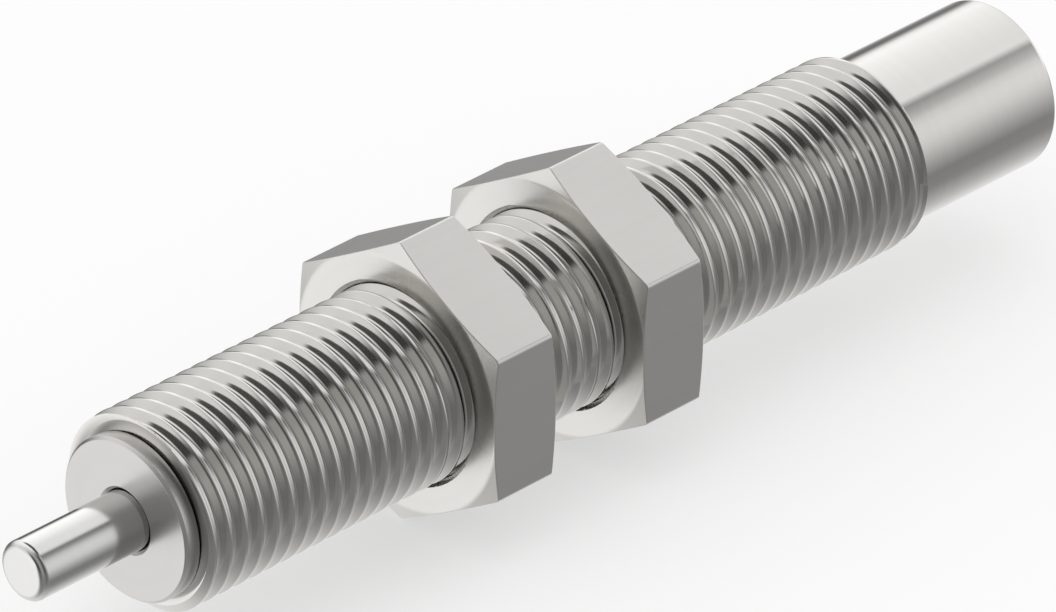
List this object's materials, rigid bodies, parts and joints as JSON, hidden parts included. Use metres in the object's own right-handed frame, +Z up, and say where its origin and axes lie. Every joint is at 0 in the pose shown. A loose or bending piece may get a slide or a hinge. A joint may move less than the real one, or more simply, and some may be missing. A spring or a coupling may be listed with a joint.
{
  "type": "industrial shock absorber",
  "caption": "Miniature hydraulic shock absorber with a threaded metal body, two hex lock nuts, a flat fixed stop and a spring-returned piston rod.",
  "frame": {"origin": "centre of the flat stop face at the front, on the rod's axis", "axes": "+X along the body's axis from the stop face to the tail, so the rod points to -X; +Z up through a corner of each lock nut"},
  "size_m": [0.0642, 0.013, 0.015],
  "materials": {
    "body_steel": "turned stainless steel",
    "stop_steel": "ground hardened steel",
    "nut_steel": "milled stainless steel",
    "rod_steel": "polished hardened steel",
    "wiper_polyurethane": "polyurethane",
    "ptfe": "plain PTFE",
    "seal_rubber": "nitrile rubber",
    "guide_aluminium": "turned aluminium",
    "bush_bronze": "sintered bronze",
    "foam": "closed-cell nitrile foam",
    "tube_steel": "drawn steel tube",
    "piston_steel": "hardened steel",
    "valve_steel": "lapped spring steel",
    "spring_steel": "hard-drawn spring wire",
    "plug_steel": "turned steel",
    "ball_steel": "bearing ball"
  },
  "bodies": {
    "housing": {"threaded_body": "body_steel", "stop_cap": "stop_steel", "wiper_ring": "wiper_polyurethane", "back_up_ring": "ptfe", "rod_seal": "seal_rubber", "rod_guide": "guide_aluminium", "rod_bush": "bush_bronze", "guide_o_ring": "seal_rubber", "accumulator_foam": "foam", "pressure_tube": "tube_steel", "return_spring": "spring_steel", "rear_plug": "plug_steel", "plug_o_ring": "seal_rubber", "fill_ball": "ball_steel"},
    "rod_assembly": {"piston_rod": "rod_steel", "piston_head": "piston_steel", "piston_ring": "ptfe", "spring_seat": "piston_steel", "rod_end_nut": "piston_steel"},
    "check_valve": {"check_ring": "valve_steel"},
    "front_nut": {"front_lock_nut": "nut_steel"},
    "rear_nut": {"rear_lock_nut": "nut_steel"}
  },
  "joints": [
    {"name": "rod_stroke", "type": "slide", "parent": "housing", "child": "rod_assembly", "axis": [1, 0, 0], "range_m": [0, 0.0064], "stiffness_N_per_m": 600, "deforming": ["return_spring"]},
    {"name": "check_lift", "type": "slide", "parent": "rod_assembly", "child": "check_valve", "axis": [1, 0, 0], "range_m": [0, 0.00035]},
    {"name": "front_nut_travel", "type": "slide", "parent": "housing", "child": "front_nut", "axis": [1, 0, 0], "range_m": [-0.015, 0.002]},
    {"name": "rear_nut_travel", "type": "slide", "parent": "housing", "child": "rear_nut", "axis": [1, 0, 0], "range_m": [-0.002, 0.016]}
  ]
}
